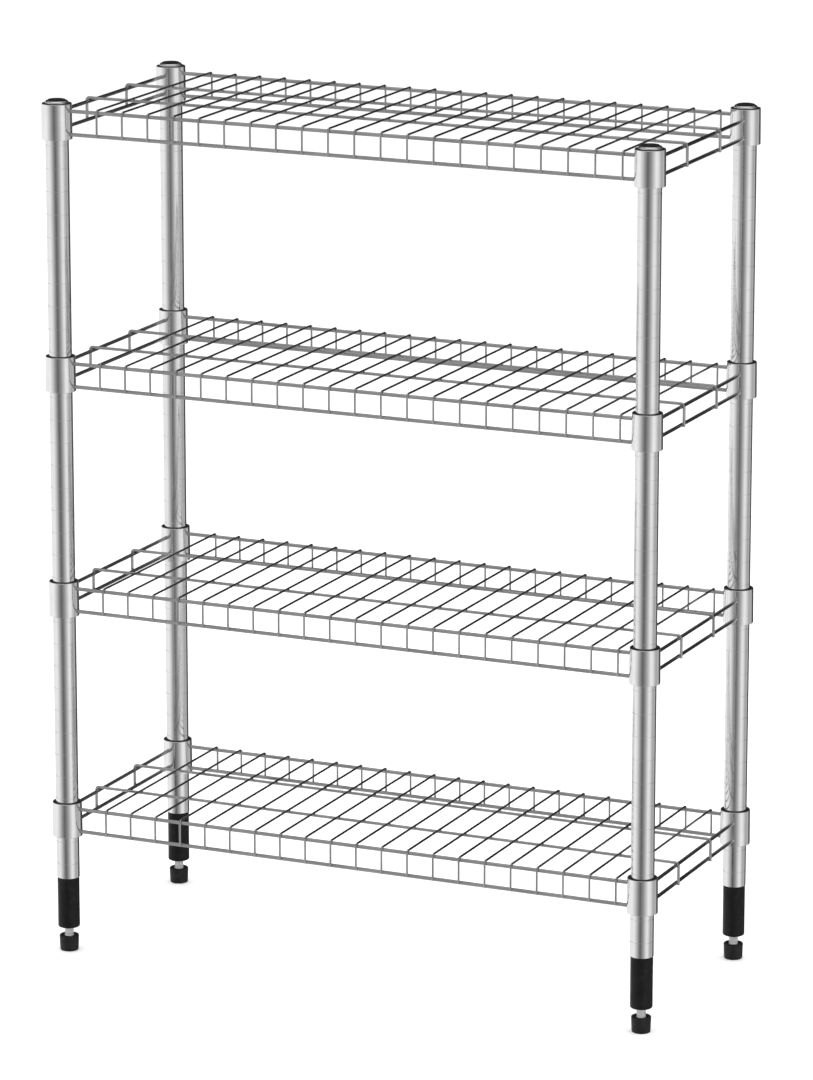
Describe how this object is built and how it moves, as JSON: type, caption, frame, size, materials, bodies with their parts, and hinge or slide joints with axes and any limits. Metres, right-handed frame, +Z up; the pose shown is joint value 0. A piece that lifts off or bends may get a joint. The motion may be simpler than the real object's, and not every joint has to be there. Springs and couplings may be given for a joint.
{
  "type": "wire shelving rack",
  "caption": "Freestanding chrome wire shelving rack: tiered wire shelves lock on round posts with split clips, and screw feet level it.",
  "frame": {"origin": "on the floor, at the centre of the plan of the four posts", "axes": "+Z up along the posts, +X along the shelf's width to the right as seen from the front, -Y towards the front"},
  "size_m": [0.7128, 0.3048, 0.95],
  "materials": {
    "bright_chrome": "bright chrome plate on drawn wire and tube",
    "collar_chrome": "bright chrome plate, pressed steel sleeve",
    "zinc_steel": "bright zinc plate on turned steel",
    "black_plastic": "moulded black polypropylene, satin",
    "clip_plastic": "moulded black nylon, matt",
    "foot_plastic": "moulded black plastic, fine matt grain"
  },
  "bodies": {
    "post_frame": {"post_upper_front_left": "bright_chrome", "post_lower_front_left": "bright_chrome", "post_cap_front_left": "black_plastic", "foot_barrel_front_left": "black_plastic", "post_upper_front_right": "bright_chrome", "post_lower_front_right": "bright_chrome", "post_cap_front_right": "black_plastic", "foot_barrel_front_right": "black_plastic", "post_upper_back_left": "bright_chrome", "post_lower_back_left": "bright_chrome", "post_cap_back_left": "black_plastic", "foot_barrel_back_left": "black_plastic", "post_upper_back_right": "bright_chrome", "post_lower_back_right": "bright_chrome", "post_cap_back_right": "black_plastic", "foot_barrel_back_right": "black_plastic", "post_joint_studs": "zinc_steel", "post_joint_inserts": "zinc_steel", "leveller_nuts": "zinc_steel", "clip_halves_1_left": "clip_plastic", "clip_halves_1_right": "clip_plastic", "clip_halves_2_left": "clip_plastic", "clip_halves_2_right": "clip_plastic", "clip_halves_3_left": "clip_plastic", "clip_halves_3_right": "clip_plastic", "clip_halves_4_left": "clip_plastic", "clip_halves_4_right": "clip_plastic"},
    "shelf_1": {"shelf_1_collars": "collar_chrome", "shelf_1_front_rails": "bright_chrome", "shelf_1_back_rails": "bright_chrome", "shelf_1_side_rails": "bright_chrome", "shelf_1_deck_wires": "bright_chrome", "shelf_1_support_wires": "bright_chrome"},
    "shelf_2": {"shelf_2_collars": "collar_chrome", "shelf_2_front_rails": "bright_chrome", "shelf_2_back_rails": "bright_chrome", "shelf_2_side_rails": "bright_chrome", "shelf_2_deck_wires": "bright_chrome", "shelf_2_support_wires": "bright_chrome"},
    "shelf_3": {"shelf_3_collars": "collar_chrome", "shelf_3_front_rails": "bright_chrome", "shelf_3_back_rails": "bright_chrome", "shelf_3_side_rails": "bright_chrome", "shelf_3_deck_wires": "bright_chrome", "shelf_3_support_wires": "bright_chrome"},
    "shelf_4": {"shelf_4_collars": "collar_chrome", "shelf_4_front_rails": "bright_chrome", "shelf_4_back_rails": "bright_chrome", "shelf_4_side_rails": "bright_chrome", "shelf_4_deck_wires": "bright_chrome", "shelf_4_support_wires": "bright_chrome"},
    "pad_front_left": {"leveller_pad_front_left": "foot_plastic"},
    "stem_front_left": {"leveller_stem_front_left": "zinc_steel"},
    "pad_front_right": {"leveller_pad_front_right": "foot_plastic"},
    "stem_front_right": {"leveller_stem_front_right": "zinc_steel"},
    "pad_back_left": {"leveller_pad_back_left": "foot_plastic"},
    "stem_back_left": {"leveller_stem_back_left": "zinc_steel"},
    "pad_back_right": {"leveller_pad_back_right": "foot_plastic"},
    "stem_back_right": {"leveller_stem_back_right": "zinc_steel"}
  },
  "joints": [
    {"name": "shelf_1_lift", "type": "slide", "parent": "post_frame", "child": "shelf_1", "axis": [0, 0, 1], "range_m": [0, 0.06]},
    {"name": "shelf_2_lift", "type": "slide", "parent": "post_frame", "child": "shelf_2", "axis": [0, 0, 1], "range_m": [0, 0.235]},
    {"name": "shelf_3_lift", "type": "slide", "parent": "post_frame", "child": "shelf_3", "axis": [0, 0, 1], "range_m": [0, 0.21]},
    {"name": "shelf_4_lift", "type": "slide", "parent": "post_frame", "child": "shelf_4", "axis": [0, 0, 1], "range_m": [0, 0.21]},
    {"name": "foot_height_front_left", "type": "slide", "parent": "post_frame", "child": "pad_front_left", "axis": [0, 0, 1], "range_m": [-0.02, 0.008]},
    {"name": "stem_turn_front_left", "type": "hinge", "parent": "pad_front_left", "child": "stem_front_left", "pos_m": [-0.34, -0.136, 0.02], "axis": [0, 0, 1], "range_deg": [-4801, 1921]},
    {"name": "foot_height_front_right", "type": "slide", "parent": "post_frame", "child": "pad_front_right", "axis": [0, 0, 1], "range_m": [-0.02, 0.008]},
    {"name": "stem_turn_front_right", "type": "hinge", "parent": "pad_front_right", "child": "stem_front_right", "pos_m": [0.34, -0.136, 0.02], "axis": [0, 0, 1], "range_deg": [-4801, 1921]},
    {"name": "foot_height_back_left", "type": "slide", "parent": "post_frame", "child": "pad_back_left", "axis": [0, 0, 1], "range_m": [-0.02, 0.008]},
    {"name": "stem_turn_back_left", "type": "hinge", "parent": "pad_back_left", "child": "stem_back_left", "pos_m": [-0.34, 0.136, 0.02], "axis": [0, 0, 1], "range_deg": [-4801, 1921]},
    {"name": "foot_height_back_right", "type": "slide", "parent": "post_frame", "child": "pad_back_right", "axis": [0, 0, 1], "range_m": [-0.02, 0.008]},
    {"name": "stem_turn_back_right", "type": "hinge", "parent": "pad_back_right", "child": "stem_back_right", "pos_m": [0.34, 0.136, 0.02], "axis": [0, 0, 1], "range_deg": [-4801, 1921]}
  ],
  "couplings": [
    {"joint": "stem_turn_front_left", "follows": "foot_height_front_left", "rad_per_m": 4188.8},
    {"joint": "stem_turn_front_right", "follows": "foot_height_front_right", "rad_per_m": 4188.8},
    {"joint": "stem_turn_back_left", "follows": "foot_height_back_left", "rad_per_m": 4188.8},
    {"joint": "stem_turn_back_right", "follows": "foot_height_back_right", "rad_per_m": 4188.8}
  ]
}
